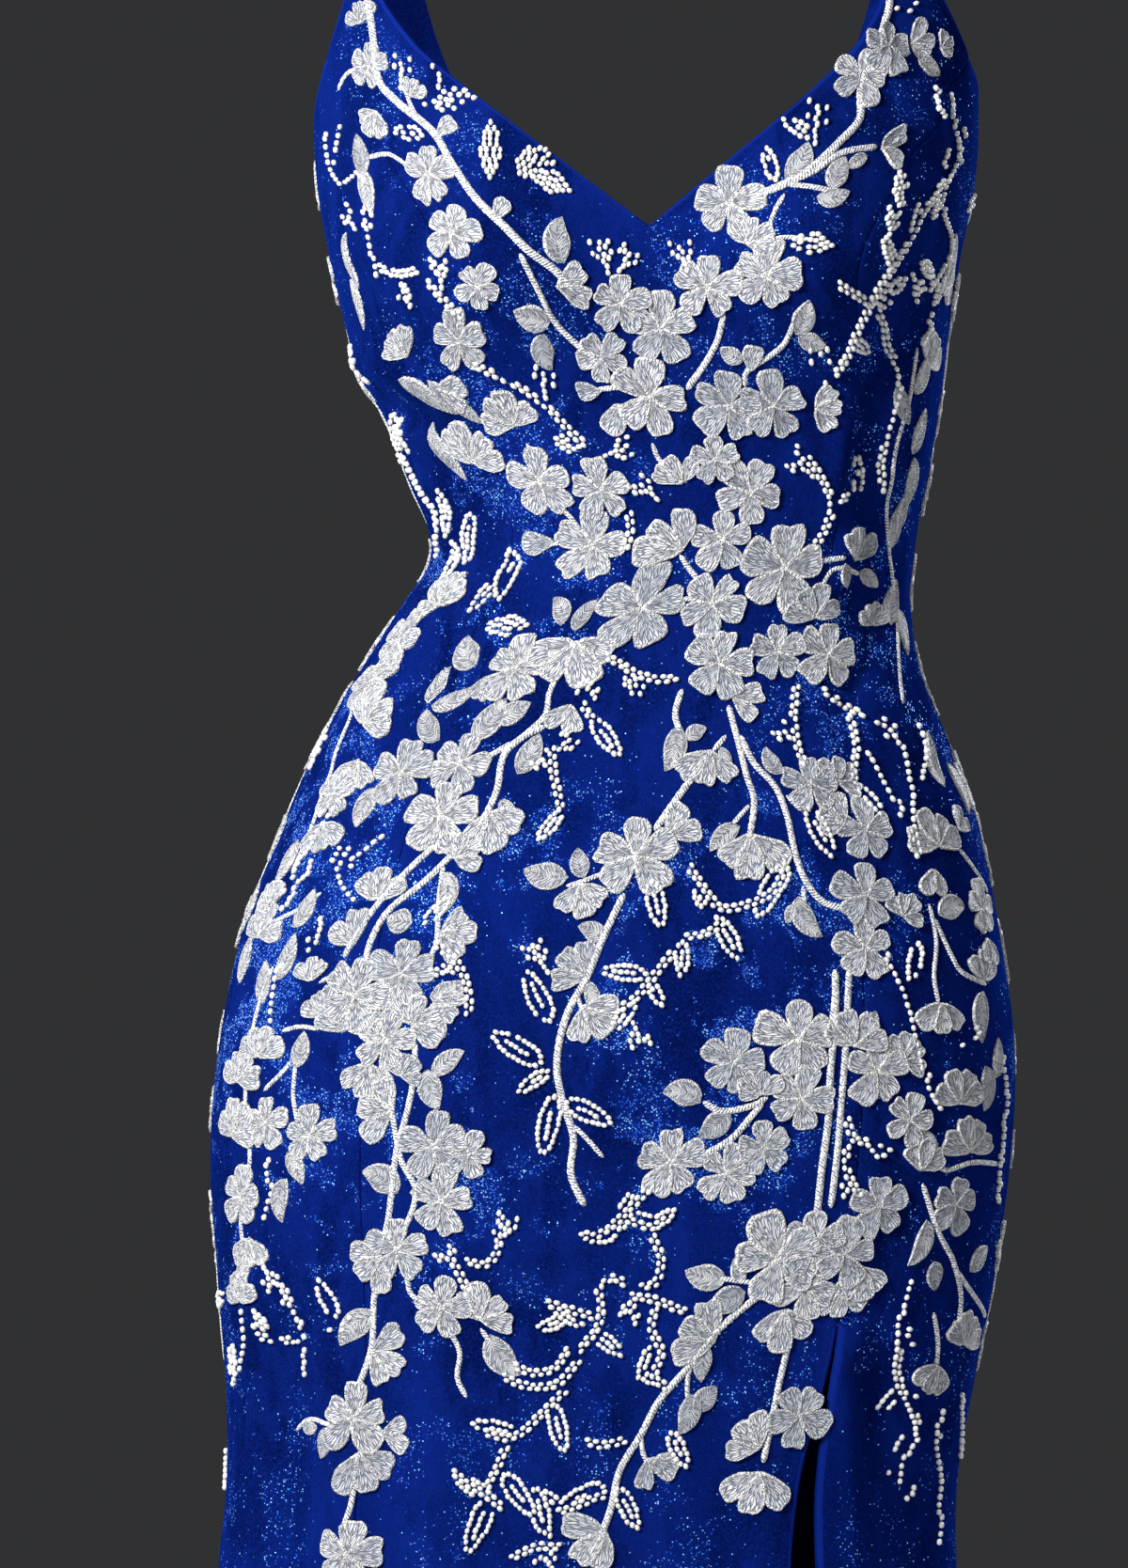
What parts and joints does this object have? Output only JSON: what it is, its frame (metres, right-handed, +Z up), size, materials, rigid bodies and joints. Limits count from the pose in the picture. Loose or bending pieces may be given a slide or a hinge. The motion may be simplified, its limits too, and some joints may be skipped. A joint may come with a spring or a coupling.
{
  "type": "mermaid evening dress",
  "caption": "Floor-length worn mermaid gown: V-neck princess-seamed bodice on thin straps, fitted hips, front slit, flared hem and a concealed back zip with a hinged pull tab.",
  "frame": {"origin": "midway between the two shoulder straps, level with the tops of the shoulders that carry them", "axes": "+Z up, -Y the way the front of the dress faces, +X towards the wearer's left"},
  "size_m": [0.7888, 0.6719, 1.4835],
  "materials": {
    "satin": "royal-blue stretch satin with a soft nap and patches of blue glitter",
    "strap_satin": "royal-blue satin, folded and pressed",
    "zip_tape": "woven navy-blue tape",
    "zip_metal": "blue enamel",
    "silver_thread": "silver-white embroidery thread and cord",
    "pearl_beads": "silver-white seed beads"
  },
  "bodies": {
    "dress": {"front": "satin", "side_front_right": "satin", "side_front_left": "satin", "side_back_right": "satin", "side_back_left": "satin", "back_right": "satin", "back_left": "satin", "strap_right": "strap_satin", "strap_left": "strap_satin", "zip_tape": "zip_tape", "zip_slider": "zip_metal"},
    "pull": {"zip_pull": "zip_metal"}
  },
  "joints": [
    {"name": "pull_hinge", "type": "hinge", "parent": "dress", "child": "pull", "pos_m": [0.0003, 0.0982, -0.28228], "axis": [1, 0, 0], "range_deg": [0, 120]}
  ]
}
